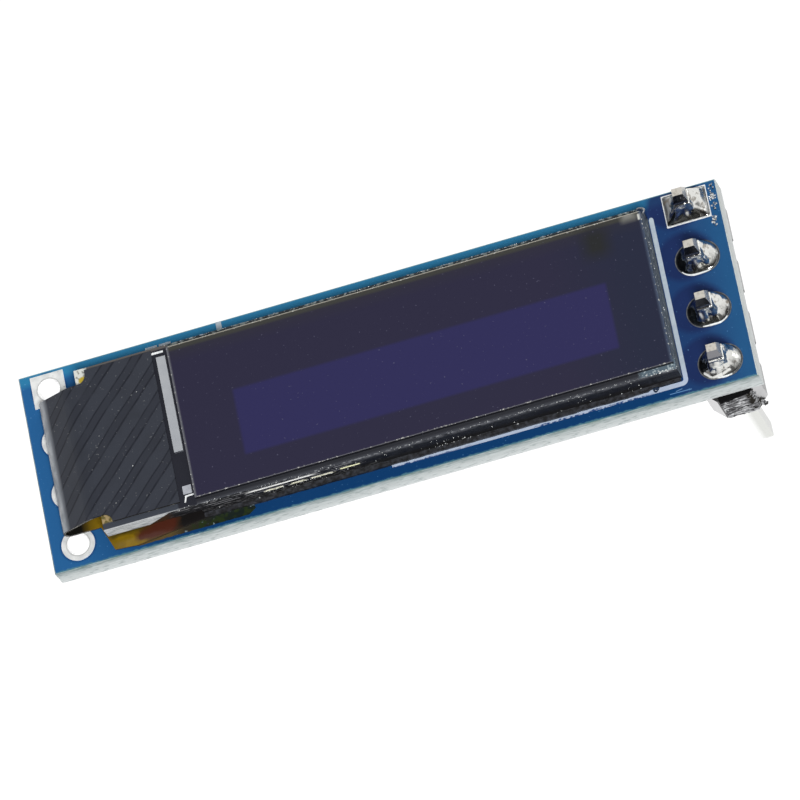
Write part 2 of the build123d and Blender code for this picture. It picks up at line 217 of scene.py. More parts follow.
    def bump(self, height, strength, distance):
        """A relief whose height of 1 stands for distance in mm."""
        node = self.tree.nodes.new("ShaderNodeBump")
        node.inputs["Strength"].default_value = strength
        node.inputs["Distance"].default_value = distance * MM
        self.tree.links.new(height, node.inputs["Height"])
        self.tree.links.new(node.outputs[0], self.shader.inputs["Normal"])

    def done(self, **values):
        """Hands over the colour and sets the shader's other sockets by name."""
        self.feed(self.shader.inputs["Base Color"], self.tone)
        for key, value in values.items():
            self.feed(self.shader.inputs[key.replace("_", " ")], value)
        return self


def dress(paint, *names):
    """Gives CAD nodes a material."""
    for name in names:
        mesh = nodes[name].data
        mesh.materials.clear()
        mesh.materials.append(paint.material)


def piece(name, points, faces, paint, smooth=False):
    """A mesh of the scene's own, from points in mm, that rides with the part."""
    mesh = bpy.data.meshes.new(name)
    mesh.from_pydata([Vector(point) * MM for point in points], [], faces)
    mesh.validate()
    mesh.update()
    mesh.materials.append(paint.material)
    if smooth:
        mesh.shade_smooth()
    thing = bpy.data.objects.new(name, mesh)
    bpy.context.scene.collection.objects.link(thing)
    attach(thing, "root")
    return thing


# Board: blue mask over glass fibre, whose cut edges are bare

def mask_layers(p):
    """The mask: paler at both ends and the far side, darker round the pads, scratched and frayed."""
    # Painted light: the mask is paler towards both ends and along the far side
    p.over(p.ramp(p.x, -26.0, -29.5), rgb(32, 86, 136))
    p.over(p.ramp(p.x, -2.2, -1.7), rgb(24, 54, 98))
    p.over(p.ramp(p.x, -0.4, 1.1), rgb(28, 74, 116))
    p.over(p.both(p.ramp(p.y, 4.1, 4.4), p.ramp(p.x, 0.8, -3.0)), rgb(40, 112, 152))
    # Painted shade: a dark oval beside each header joint
    for y in pin_ys:
        joint_shade = p.round_spot(-0.5, y + 0.25, 1.3, 1.15, 0.12)
        p.over(p.both(joint_shade, 0.85), rgb(22, 36, 78))
    for pad in left_pads:
        mask_gap = p.round_spot(pad.x, pad.y, 0.86, 0.86, 0.04)
        p.over(p.both(mask_gap, 0.5), rgb(14, 50, 96))
    p.over(p.streak((-2.49, -4.66), (-1.5, -4.68), 0.03), rgb(96, 140, 184))
    p.over(p.streak((-2.2, -4.6), (-1.9, -4.55), 0.02), rgb(120, 160, 196))
    p.over(p.both(p.flecks(9, 0.7, 0.74), 0.5), rgb(90, 140, 186))
    frayed = p.strayed(p.y, 5, 4, 0.18)
    p.over(p.both(p.ramp(frayed, board_lo.y + 0.09, board_lo.y + 0.03), 0.85), rgb(76, 118, 130))
    p.over(p.ramp(p.y, board_hi.y - 0.05, board_hi.y - 0.01), rgb(104, 142, 150))
    p.over(p.both(p.ramp(p.x, board_lo.x + 0.06, board_lo.x + 0.02), 0.6), rgb(150, 190, 206))


def wall_layers(p, fibres, mottle):
    """The cut edges: darker below the mask, paler at the bottom, with lengthwise fibres and mottling."""
    high, low = board_hi.z, board_lo.z
    p.over(p.ramp(p.z, high - 0.5, high - 0.05), rgb(110, 126, 129))
    # Painted light: the lower part of the walls is paler
    p.over(p.both(p.ramp(p.z, low + 0.6, low), 0.85), rgb(206, 210, 210))
    p.over(p.both(p.ramp(fibres, 0.45, 0.62), 0.5), rgb(196, 203, 203))
    p.over(p.both(p.ramp(mottle, 0.54, 0.68), 0.5), rgb(96, 112, 112))
    green = p.both(p.flecks(1.4, 0.48, 0.66), p.ramp(p.z, high - 0.45, high - 0.02), 0.5)
    p.over(green, rgb(80, 112, 98))
    # Painted light: the walls that face right are paler
    p.over(p.both(p.ramp(p.nx, 0.5, 0.8), 0.8), rgb(192, 195, 194))


def board_paint():
    p = Paint("board_blue", rgb(4, 52, 98))
    mask_layers(p)
    fibres = p.noise(1.0, 4, p.stretched(1.3, 1.3, 12.0))
    mottle = p.noise(1.0, 4, p.stretched(2.6, 2.6, 9.0))
    mask, p.tone = p.tone, rgb(176, 182, 182)
    wall_layers(p, fibres, mottle)
    walls, p.tone = p.tone, mask
    side = p.ramp(p.math("ABSOLUTE", p.nz), 0.85, 0.8)
    p.over(side, walls)
    p.bump(p.both(side, p.either(fibres, mottle)), 0.5, 0.04)
    return p.done(Roughness=p.ramp(side, -0.6, 0.6), Specular_IOR_Level=0.15)


# White print, worn thin and ragged in the middle of its near line, where the mask shows through

def print_paint():
    p = Paint("print_white", rgb(156, 168, 180))
    mask = rgb(20, 58, 112)
    p.over(p.flecks(4, 0.45, 0.6, 3), rgb(164, 176, 184))
    p.over(p.both(p.ramp(p.y, -3.4, -4.0), 0.5), rgb(166, 178, 206))
    ragged = p.strayed(p.y, 6, 3, 0.2)
    worn = p.both(p.ramp(ragged, WORN_LINE, WORN_LINE - 0.03), p.band(p.x, -8.6, -3.4, 0.3),
                  p.flecks(5, 0.4, 0.52))
    p.over(worn, mask)
    p.over(p.both(p.ramp(ragged, WORN_LINE - 0.01, WORN_LINE - 0.05), p.ramp(p.x, -11.0, -13.0)), mask)
    return p.done(Roughness=0.6)


# Tinned copper of the pads, a little darker at the rims of the free holes and white inside them

def pad_paint():
    p = Paint("pad_tin", rgb(206, 208, 208))
    p.over(p.flecks(2.5, 0.4, 0.62, 3), rgb(226, 227, 226))
    p.over(p.both(p.flecks(7, 0.66, 0.72, 3), 0.5), rgb(120, 118, 112))
    rim_r = HOLE_R + 0.05
    for pad in left_pads:
        p.over(p.both(p.round_spot(pad.x, pad.y, rim_r, rim_r, 0.02), 0.45), rgb(150, 152, 148))
    p.over(p.ramp(p.math("ABSOLUTE", p.nz), 0.6, 0.4), rgb(255, 255, 255))
    p.bump(p.noise(5, 3), 0.15, 0.02)
    return p.done(Metallic=0.15, Roughness=0.45)


# Solder, bright and lumpy, with brown flux in its folds and painted shade on its left sides and near foot.
# The near joint has painted highlights in streaks like flat facets, and each of the others a painted pale
# spot at its foot.

FACET_GLINTS = (((-0.82, -4.15), (-0.49, -4.5), 0.1), ((-0.49, -4.5), (0.0, -4.46), 0.12),
          ((0.0, -4.46), (0.4, -4.36), 0.08), ((-0.4, -4.1), (0.05, -4.2), 0.2))
GLINT_SPOTS = (((-0.36, -1.54), (-0.28, -1.76), 0.1), ((-0.04, 0.9), (0.06, 0.7), 0.1),
              ((0.06, 3.4), (0.0, 3.28), 0.1))


def solder_paint():
    p = Paint("solder", rgb(216, 216, 212))
    # Painted shade: the joints are darker on their left-facing sides and at their near foot
    p.over(p.both(p.ramp(p.nx, 0.1, -0.5), 0.85), rgb(116, 118, 122))
    foot = p.both(p.ramp(p.z, pad_top + 0.16, pad_top + 0.05), p.ramp(p.ny, -0.45, -0.2))
    p.over(p.both(foot, 0.8), rgb(84, 86, 88))
    p.over(p.both(p.flecks(3.0, 0.56, 0.66, 3), 0.6), rgb(96, 84, 68))
    p.over(p.both(p.flecks(9, 0.66, 0.72, 3), 0.6), rgb(60, 54, 48))
    # Painted highlights: pale, non-metallic streaks and spots on the joints' upper faces
    glints = p.either(p.streaks(FACET_GLINTS, 0.02), p.both(p.streaks(GLINT_SPOTS, 0.05), p.flecks(3, 0.35, 0.55)))
    lit = p.both(glints, p.ramp(p.nz, 0.05, 0.3))
    p.over(lit, rgb(206, 206, 202))
    p.bump(p.noise(4.5, 3), 0.35, 0.06)
    rough = p.math("ADD", p.ramp(p.noise(1.8, 2), 0.62, 1.3), 0.1)
    return p.done(Metallic=p.ramp(lit, 1.0, 0.0), Roughness=rough)


# Pin metal: pale below the board, grey above it with a dark near wall, and torn on the cut ends

def pin_paint():
    p = Paint("pin_metal", rgb(252, 253, 252))
    above = p.ramp(p.z, board_hi.z, board_hi.z + 0.1)
    # Painted shade: below the board the right half and the right-facing faces are darker
    p.over(p.ramp(p.x, -0.3, 0.0), rgb(216, 217, 213))
    p.over(p.facing(p.nx), rgb(188, 189, 186))
    p.over(above, rgb(190, 188, 184))
    # Painted reflection: above the board the near wall is dark, darker still on all but the near pin
    near = p.both(above, p.ramp(p.ny, -0.3, -0.6))
    p.over(near, rgb(128, 128, 132))
    p.over(p.both(near, p.ramp(p.y, -3.2, -3.0)), rgb(84, 86, 94))
    cut = p.both(p.ramp(p.nz, 0.85, 0.9), above)
    p.over(cut, rgb(178, 174, 166))
    p.over(p.both(cut, p.flecks(7, 0.5, 0.64, 3), 0.5), rgb(130, 124, 114))
    shine = p.ramp(cut, 1.0, 0.0)
    p.bump(p.both(above, p.noise(6, 3, p.stretched(1, 1, 0.25))), 0.25, 0.03)
    return p.done(Metallic=shine, Roughness=p.ramp(shine, 1.6, -0.9))


# Header plastic: glossy black, with a pale gleam on the two slanted faces of its near end

def header_paint():
    p = Paint("header_black", rgb(24, 24, 26))
    p.over(p.both(p.flecks(3, 0.5, 0.7, 3), 0.4), rgb(44, 44, 46))
    slant = p.both(p.ramp(p.ny, -0.4, -0.5), p.ramp(p.y, -4.4, -4.5))
    p.over(p.both(slant, p.ramp(p.nx, -0.4, -0.5)), rgb(196, 196, 197))
    p.over(p.both(slant, p.ramp(p.nx, 0.4, 0.5)), rgb(168, 168, 169))
    p.bump(p.noise(2.2, 3), 0.08, 0.05)
    return p.done(Roughness=0.3, Specular_IOR_Level=0.4, Coat_Weight=0.3, Coat_Roughness=0.15)


# The break of the header strip: grey with pale and dark streaks, and in shadow under the board

def break_paint():
    p = Paint("header_break", rgb(92, 92, 94))
    shadow = rgb(6, 6, 7)
    p.over(p.flecks(1.0, 0.44, 0.58, 4, p.stretched(2.2, 2.2, 10.0)), rgb(176, 177, 179))
    p.over(p.both(p.flecks(1.0, 0.52, 0.58, 4, p.stretched(2.8, 2.8, 13.0)), 0.9), rgb(26, 26, 28))
    slant = p.math("SUBTRACT", p.z, p.math("MULTIPLY", p.x, 0.18))
    p.over(p.ramp(p.strayed(slant, 3, 3, 0.2), 1.84, 1.9), shadow)
    p.over(p.both(p.ramp(p.x, 0.5, 0.62), p.flecks(3.5, 0.45, 0.55, 3)), rgb(34, 32, 28))
    p.over(p.ramp(p.nz, 0.6, 0.8), shadow)
    return p.done(Roughness=0.9, Specular_IOR_Level=0.1)


# Front glass, told apart by its faces. Each helper below paints one of them.

def glass_margins(p, top):
    """The narrow margins of the top face round the polarizer, with a scuffed near right corner."""
    p.over(p.both(top, p.ramp(p.y, polar_lo.y + 0.05, polar_lo.y)), rgb(44, 45, 50))
    p.over(p.both(top, p.ramp(p.y, glass_lo.y + 0.16, glass_lo.y + 0.02)), rgb(66, 68, 74))
    far_margin = p.both(top, p.ramp(p.y, polar_hi.y - 0.05, polar_hi.y))
    p.over(far_margin, rgb(44, 50, 54))
    p.over(p.both(far_margin, p.flecks(5, 0.5, 0.62, 3)), rgb(104, 112, 112))
    p.over(p.both(top, p.ramp(p.x, polar_hi.x - 0.05, polar_hi.x)), rgb(68, 75, 84))
    corner = p.both(top, p.patch(-3.4, glass_hi.x + 0.1, glass_lo.y - 0.1, -3.6, 0.12))
    p.over(corner, rgb(84, 98, 108))
    p.over(p.both(corner, p.flecks(6, 0.58, 0.64, 3)), rgb(150, 162, 166))


def glass_near_wall(p, near):
    """The near wall: a soft upper line, grain, three broken scratches, three glints and the pale left end."""
    up, down = glass_hi.z, glass_lo.z
    line = p.both(near, p.ramp(p.z, up - 0.3, up - 0.05))
    p.over(p.both(line, p.flecks(4.5, 0.3, 0.6, 3), p.ramp(p.x, -22.5, -16.0)), rgb(84, 85, 90))
    grain = p.noise(1.0, 3, p.stretched(2.4, 2.4, 26.0))
    p.over(p.both(near, p.ramp(grain, 0.58, 0.63), p.ramp(p.x, -13.0, -21.0), 0.35), rgb(110, 110, 112))
    level = p.strayed(p.z, 2, 3, 0.08)
    broken = p.flecks(1.7, 0.44, 0.5, 3)
    for drop, first in ((0.16, -25.0), (0.36, -24.4), (0.54, -23.4)):
        scratch = p.both(near, p.band(level, up - drop - 0.02, up - drop + 0.02, 0.012), broken)
        p.over(p.both(scratch, p.band(p.x, first, -16.5, 0.3), 0.85), rgb(140, 140, 144))
    glint = p.both(p.band(p.x, -21.6, -18.6, 0.2), p.band(level, up - 0.33, up - 0.22))
    low_glint = p.both(p.band(p.x, -21.0, -17.7, 0.1), p.band(level, down, down + 0.14),
                       p.flecks(4.5, 0.42, 0.5))
    short_glint = p.both(p.band(p.x, -17.4, -16.5, 0.03), p.band(level, down + 0.12, down + 0.24))
    p.over(p.both(near, glint), rgb(244, 244, 240))
    p.over(p.both(near, low_glint), rgb(226, 224, 200))
    p.over(p.both(near, short_glint), rgb(238, 238, 196))
    # Painted reflection: the left end of the near wall is pale, up to a slanted step
    step = p.math("ADD", down, p.math("MULTIPLY", p.ramp(p.x, -26.3, PALE_END), up - down))
    pale = p.both(near, p.ramp(p.x, PALE_END, PALE_END - 0.1),
                  p.ramp(p.math("SUBTRACT", p.z, step), -0.02, 0.02))
    p.over(pale, rgb(180, 183, 184))
    p.over(p.both(pale, p.flecks(1.0, 0.5, 0.6, 3, p.stretched(1.5, 1.5, 16.0))), rgb(122, 126, 130))
    below_pale = p.both(near, p.ramp(p.x, PALE_END + 0.1, PALE_END - 0.3), p.ramp(pale, 0.5, 0.0))
    p.over(below_pale, rgb(48, 30, 14))


def glass_rims(p, top, near):
    """Chipped bright rims along the near and far edges of the top face."""
    rim = p.either(p.both(top, p.ramp(p.y, glass_lo.y + 0.05, glass_lo.y + 0.01)),
                   p.both(near, p.ramp(p.z, glass_hi.z - 0.07, glass_hi.z - 0.02)))
    p.over(p.both(rim, p.flecks(5.5, 0.5, 0.66, 3)), rgb(126, 128, 132))
    far_rim = p.both(top, p.ramp(p.y, glass_hi.y - 0.06, glass_hi.y - 0.01), p.flecks(7, 0.58, 0.66, 3))
    p.over(far_rim, rgb(150, 160, 170))


def glass_right_wall(p):
    """The right wall, with a painted reflection that is paler towards its top."""
    right = p.facing(p.nx)
    p.over(right, rgb(46, 54, 62))
    p.over(p.both(right, p.ramp(p.z, glass_lo.z - 0.1, glass_hi.z)), rgb(66, 73, 80))
    p.over(p.both(right, p.flecks(1.0, 0.52, 0.62, 3, p.stretched(3, 5, 2))), rgb(106, 114, 118))


def glass_ledge(p, top):
    """The ledge: frosted at its far left corner, yellowish by the near notch, bluish along its near edge."""
    left, near = glass_lo.x, glass_lo.y
    ledge = p.both(top, p.ramp(p.x, polar_lo.x + 0.02, polar_lo.x - 0.02))
    p.over(ledge, rgb(38, 39, 46))
    p.over(p.both(ledge, p.ramp(p.y, 3.6, 3.66), 0.5), rgb(112, 108, 104))
    frost = p.both(ledge, p.ramp(p.y, film_hi.y - 2.0, film_hi.y - 1.4),
                   p.ramp(p.x, left + 0.62, left + 0.5))
    p.over(frost, rgb(196, 198, 192))
    p.over(p.both(frost, p.flecks(5, 0.52, 0.6, 3)), rgb(132, 132, 126))
    p.over(p.both(frost, p.round_spot(left + 0.36, 3.2, 0.22, 0.17, 0.2)), rgb(168, 146, 52))
    notch = p.both(ledge, p.patch(left - 0.1, left + 0.6, near + 0.28, -3.1, 0.04))
    p.over(notch, rgb(96, 88, 52))
    p.over(p.both(notch, p.flecks(5, 0.5, 0.6, 3)), rgb(150, 132, 96))
    bluish = p.both(ledge, p.patch(left - 0.1, left + 3.5, near - 0.1, near + 0.34, 0.04))
    p.over(bluish, rgb(58, 62, 70))
    # Painted highlight: a bright line along the left part of the ledge's near edge
    bright_edge = p.both(ledge, p.ramp(p.y, near + 0.06, near + 0.02), p.ramp(p.x, -24.0, -26.0))
    p.over(bright_edge, rgb(180, 182, 184))


def glass_paint():
    p = Paint("panel_glass", rgb(15, 15, 19))
    top, near = p.facing(p.nz), p.facing(p.ny, -1)
    glass_margins(p, top)
    glass_near_wall(p, near)
    glass_rims(p, top, near)
    glass_right_wall(p)
    glass_ledge(p, top)
    # Painted highlight: the left-facing walls are pale
    p.over(p.both(p.facing(p.nx, -1), 0.7), rgb(118, 124, 120))
    p.bump(p.noise(4, 3, p.stretched(1, 1, 5)), 0.3, 0.03)
    return p.done(Roughness=0.35, Specular_IOR_Level=0.12)


# Rear glass, seal and tape, seen only at their walls

def rear_paint():
    p = Paint("panel_glass_rear", rgb(11, 11, 14))
    low = rear_lo.z
    grain = p.noise(1.0, 3, p.stretched(2.4, 2.4, 26.0))
    p.over(p.both(p.ramp(grain, 0.57, 0.62), p.ramp(p.x, -14.0, -20.0), 0.8), rgb(116, 116, 118))
    p.over(p.both(p.ramp(p.z, low + 0.07, low + 0.02), p.flecks(3, 0.42, 0.55, 3), 0.7), rgb(80, 82, 88))
    p.over(p.facing(p.nx), rgb(30, 36, 42))
    p.over(p.both(p.facing(p.ny, -1), p.ramp(p.x, PALE_END + 0.3, PALE_END)), rgb(60, 28, 18))
    p.over(p.facing(p.nx, -1), rgb(60, 50, 24))
    return p.done(Roughness=0.4, Specular_IOR_Level=0.2)


def seal_paint():
    p = Paint("seal_grey", rgb(112, 114, 118))
    p.over(p.flecks(5, 0.5, 0.6), rgb(140, 142, 144))
    return p.done(Roughness=0.5)


def tape_paint():
    p = Paint("tape_black", rgb(12, 12, 15))
    p.over(p.both(p.flecks(4, 0.55, 0.66, 3), 0.6), rgb(52, 54, 62))
    p.bump(p.noise(6, 3), 0.3, 0.03)
    return p.done(Roughness=0.6)


# Polarizer: nearly black, bluer over the lit field, greyer at the far right corner, with scuffed edges.
# The lit field as it is seen through the glass, in mm
LIT_LEFT, LIT_RIGHT, LIT_NEAR, LIT_FAR = -21.3, -4.0, -2.5, 0.67


def polarizer_paint():
    p = Paint("polarizer_dark", rgb(41, 39, 58))
    left, right, near, far = polar_lo.x, polar_hi.x, polar_lo.y, polar_hi.y
    p.over(p.ramp(p.x, -6.5, -3.0), rgb(36, 39, 56))
    p.over(p.patch(LIT_LEFT, LIT_RIGHT, LIT_NEAR, LIT_FAR, 0.07), rgb(43, 41, 78))
    p.over(p.both(p.ramp(p.y, far - 0.9, far - 0.1), 0.6), rgb(46, 45, 50))
    p.over(p.ramp(p.y, far - 0.3, far - 0.18), rgb(56, 56, 53))
    p.over(p.patch(-4.6, -3.5, 2.0, far - 0.25, 0.35), rgb(38, 39, 40))
    p.over(p.both(p.patch(-2.75, -2.02, 3.2, far, 0.12), 0.85), rgb(100, 100, 96))
    p.over(p.both(p.patch(-2.6, -2.2, 3.4, far, 0.1), 0.8), rgb(130, 130, 126))
    p.over(p.patch(-1.98, right, 3.16, far - 0.12, 0.03), rgb(214, 214, 206))
    p.over(p.ramp(p.y, near + 0.05, near + 0.02), rgb(92, 92, 98))
    # Painted highlight: a pale line along the far edge
    p.over(p.ramp(p.y, far - 0.05, far - 0.02), rgb(150, 146, 136))
    p.over(p.ramp(p.x, left + 0.12, left + 0.04), rgb(92, 93, 99))
    p.over(p.both(p.ramp(p.x, right - 0.16, right - 0.02), p.facing(p.nz)), rgb(66, 76, 94))
    rim = p.either(p.ramp(p.x, left + 0.07, left), p.ramp(p.x, right - 0.07, right),
                   p.ramp(p.y, near + 0.08, near), p.ramp(p.y, far - 0.08, far))
    p.over(p.both(rim, p.flecks(8.0, 0.6, 0.67, 3)), rgb(196, 196, 190))
    p.over(p.both(p.ramp(p.nz, 0.6, 0.5), p.ramp(p.nx, 0.6, 0.5)), rgb(22, 23, 29))
    p.over(p.both(p.facing(p.nx), p.flecks(4, 0.3, 0.6, 3)), rgb(84, 94, 104))
    p.over(p.both(p.flecks(10, 0.72, 0.75), 0.6), rgb(92, 92, 112))
    p.bump(p.noise(1.2, 3), 0.05, 0.05)
    return p.done(Roughness=0.3, Specular_IOR_Level=0.25)


# Flex: black cover film over amber, with a relief of paired diagonal traces, one pair to a mm

TRACE_TURN = math.radians(46)


def film_paint():
    p = Paint("film_black", rgb(49, 52, 60))
    left = film_lo.x
    across = p.math("SUBTRACT", p.math("MULTIPLY", p.x, math.sin(TRACE_TURN)),
                    p.math("MULTIPLY", p.y, math.cos(TRACE_TURN)))
    cycle = p.math("FRACT", p.math("ADD", p.strayed(across, 0.6, 1, 0.12), 40.0))
    line = p.either(p.band(cycle, 0.09, 0.15, 0.025), p.band(cycle, 0.46, 0.54, 0.025))
    p.over(p.both(p.band(cycle, 0.12, 0.5, 0.03), 0.45), rgb(36, 38, 46))
    p.over(p.both(line, p.ramp(p.noise(1.1, 2), 0.2, 0.5), 0.8), rgb(20, 22, 30))
    p.over(p.both(p.flecks(1.0, 0.5, 0.7, 3), 0.3), rgb(38, 40, 46))
    # Painted highlight: the film is paler along its left fold, with bright flecks at its very edge
    p.over(p.ramp(p.x, left + 0.46, left + 0.24), rgb(120, 124, 130))
    p.over(p.both(p.ramp(p.x, left + 0.32, left), p.flecks(2.2, 0.4, 0.6, 3, p.stretched(1, 0.5, 1))),
           rgb(184, 187, 190))
    p.over(p.both(p.flecks(9, 0.69, 0.72), 0.6), rgb(100, 102, 104))
    p.over(p.cut_sides(), rgb(24, 20, 14))
    p.over(p.ramp(p.nz, -0.1, -0.3), rgb(20, 18, 12))
    p.bump(p.math("SUBTRACT", p.noise(2.0, 3), p.math("MULTIPLY", line, 0.5)), 0.12, 0.03)
    return p.done(Roughness=0.42, Specular_IOR_Level=0.3)


# Amber film: reddish over the contacts, olive near the shoulder, dark where the cover's shade falls

def amber_paint():
    p = Paint("film_amber", rgb(112, 88, 8))
    p.over(p.flecks(1.4, 0.35, 0.65), rgb(134, 106, 12))
    x, y = p.strayed(p.x, 1.3, 3, 1.3), p.strayed(p.y, 1.3, 3, 0.5)
    p.over(p.ramp(p.y, -4.72, -4.86), rgb(92, 74, 20))
    p.over(p.ramp(x, -27.1, -26.3), rgb(78, 62, 32))
    p.over(p.both(p.band(x, -27.0, -24.95, 0.25), p.ramp(y, -4.56, -4.4), 0.95), rgb(70, 30, 20))
    # Painted shade: olive under the glass ledge
    p.over(p.both(p.ramp(y, -4.16, -3.98), p.band(x, -28.3, -26.6, 0.3), 0.85), rgb(54, 46, 10))
    # Painted shade: dark under the panel, towards the right
    p.over(p.ramp(x, -25.3, -24.85), rgb(20, 18, 18))
    p.over(p.both(p.ramp(p.x, -25.0, -24.0), p.ramp(p.y, -4.35, -4.5)), rgb(62, 56, 44))
    # Painted shade: darker under the fold, and nearly black inside it
    p.over(p.both(p.ramp(p.x, -28.6, -29.2), p.ramp(p.z, 3.3, 3.36)), rgb(88, 70, 14))
    p.over(p.ramp(p.x, -29.1, -29.5), rgb(14, 13, 10))
    edge = p.both(p.cut_sides(), p.ramp(p.z, 3.45, 3.5))
    p.over(edge, rgb(26, 22, 12))
    p.over(p.both(edge, p.flecks(5, 0.56, 0.62, 3)), rgb(118, 114, 104))
    p.bump(p.noise(2, 2), 0.1, 0.03)
    return p.done(Roughness=0.3, Coat_Weight=0.35, Coat_Roughness=0.15)


def skirt_paint():
    """The film's skirt: amber at its left, green and dark towards its right."""
    p = Paint("film_skirt", rgb(80, 66, 36))
    # Painted shade: the skirt darkens towards its right, in front of the panel's foot
    p.over(p.ramp(p.x, -25.6, -24.9), rgb(40, 36, 28))
    p.over(p.ramp(p.x, -24.6, -23.4), rgb(16, 26, 22))
    p.over(p.both(p.flecks(3.0, 0.5, 0.6, 3), p.ramp(p.x, -25.0, -24.2)), rgb(30, 42, 16))
    p.over(p.both(p.flecks(5.0, 0.66, 0.7, 3), p.ramp(p.x, -25.6, -25.2)), rgb(110, 124, 130))
    return p.done(Roughness=0.4, Specular_IOR_Level=0.3)


# Driver chip, with painted shade on its walls

def chip_paint():
    p = Paint("chip_grey", rgb(150, 153, 158))
    p.over(p.flecks(1.5, 0.35, 0.65), rgb(156, 159, 163))
    p.over(p.both(p.flecks(12, 0.68, 0.72), 0.5), rgb(110, 112, 118))
    p.over(p.ramp(p.nz, 0.6, 0.5), rgb(96, 99, 106))
    return p.done(Roughness=0.4)


def plain_paint(name, base, fleck, scale, rough, metal=0.0):
    """A lightly flecked material."""
    p = Paint(name, base)
    p.over(p.flecks(scale, 0.4, 0.65, 3), fleck)
    p.bump(p.noise(scale * 2, 3), 0.15, 0.02)
    return p.done(Roughness=rough, Metallic=metal)


# Length of the metal ends of the capacitors and resistors
END_CAP = 0.3


def two_ended(kind, middle, fleck, node):
    """Paints a small part with metal ends, which are told from its middle by their distance from it."""
    lo, hi = box_of(node)
    p = Paint(f"{kind}_{node}", middle)
    p.over(p.flecks(4, 0.4, 0.65, 3), fleck)
    off = p.math("ABSOLUTE", p.math("SUBTRACT", p.x, (lo.x + hi.x) / 2))
    border = (hi.x - lo.x) / 2 - END_CAP
    end = p.ramp(off, border - 0.01, border + 0.01)
    p.over(end, rgb(208, 208, 206))
    p.done(Metallic=end, Roughness=0.4)
    dress(p, node)


solder = solder_paint()
pads = pad_paint()
rims = plain_paint("pad_rim", rgb(88, 90, 94), rgb(120, 122, 122), 6, 0.4, 0.4)
# White for the foil marks, and as painted highlights on the menisci
white = plain_paint("foil_white_and_glint", rgb(226, 228, 228), rgb(200, 204, 206), 6, 0.4)
flux = plain_paint("flux_dark", rgb(22, 34, 54), rgb(40, 52, 70), 5, 0.15)
flake = plain_paint("flake_pale", rgb(206, 210, 210), rgb(96, 92, 84), 7, 0.5)
sparkle = plain_paint("chip_bright", rgb(214, 216, 214), rgb(150, 154, 156), 9, 0.3)
broken = break_paint()
seal = seal_paint()
dress(board_paint(), "pcb")
dress(print_paint(), "silkscreen_outline")
dress(pads, "header_pad_1", "regulator_leads", *[f"left_pad_{n}" for n in ROWS])
dress(rims, *[f"header_pad_{n}" for n in ROWS[1:]])
dress(solder, "back_pads", "flex_contacts")
dress(pin_paint(), *[f"header_pin_{n}" for n in ROWS])
dress(header_paint(), "header_housing")
dress(glass_paint(), "display_glass")
dress(rear_paint(), "rear_glass")
dress(seal, "glass_seal")
dress(tape_paint(), "panel_tape")
dress(polarizer_paint(), "polarizer")
dress(plain_paint("emitter_dark", rgb(43, 41, 78), rgb(48, 46, 84), 2, 0.3), "active_area")
dress(chip_paint(), "driver_chip")
dress(plain_paint("mark_grey", rgb(164, 167, 174), rgb(154, 157, 164), 5, 0.35), "ledge_mark")
dress(film_paint(), "flex_coverlay")
dress(amber_paint(), "flex_base")
dress(plain_paint("part_black", rgb(34, 34, 36), rgb(44, 44, 46), 5, 0.5), "regulator_body")
for n in range(1, 9):
    two_ended("capacitor_tan", rgb(150, 126, 96), rgb(164, 140, 110), f"capacitor_{n}")
for n in range(1, 6):
    two_ended("resistor_black", rgb(30, 30, 32), rgb(42, 42, 44), f"resistor_{n}")


# Solder joints with a face of their own: hollow towards the near left, domed towards the right

def pad_reach(angle, half_length, half_width, square=False):
    """Distance from a pad's middle to its outline, for a rectangle or a rectangle with round ends."""
    c, s = abs(math.cos(angle)), abs(math.sin(angle))
    if square:
        return min(half_length / max(c, 1e-6), half_width / max(s, 1e-6))
    straight = half_length - half_width
    if s > 1e-6 and half_width / s * c <= straight:
        return half_width / s
    return straight * c + math.sqrt(max(half_width ** 2 - (straight * s) ** 2, 0))


def joint_half_sizes(n):
    """Half a solder joint's length and width."""
    lo, hi = box_of(f"solder_joint_{n}")
    return (hi.x - lo.x) / 2, (hi.y - lo.y) / 2


# Thickness of the solder on the pin's tail at the top of the joint
SOLDER_COAT = 0.03


def solder_profile(n, angle, t, foot):
    """A joint's reach at an angle, t of the way from its foot to the top of the pin's tail."""
    c, s = math.cos(angle), math.sin(angle)
    top = (PIN_HALF + SOLDER_COAT) / max(abs(c), abs(s))
    dome_turn = math.radians(18 + 9 * n)
    domed = max(0.0, math.cos(angle - dome_turn)) ** 1.5
    hollow = 2.6 - 1.75 * domed
    lobes = abs(math.sin(2.5 * angle + 1.3 * n)) + 0.5 * abs(math.sin(4 * angle + 2.1 * n))
    lump = noise.noise(Vector((c * 1.6, s * 1.6 + 3.7 * n, t * 1.8)))
    swell = math.sin(math.pi * min(1.0, t * 1.15)) * (1 - 0.4 * domed)
    lumpy = 1 + (0.10 * (lobes - 0.75) + 0.16 * lump) * swell
    reach = (top + (foot - top) * (1 - t) ** hollow) * lumpy
    return max(top, min(reach, foot))


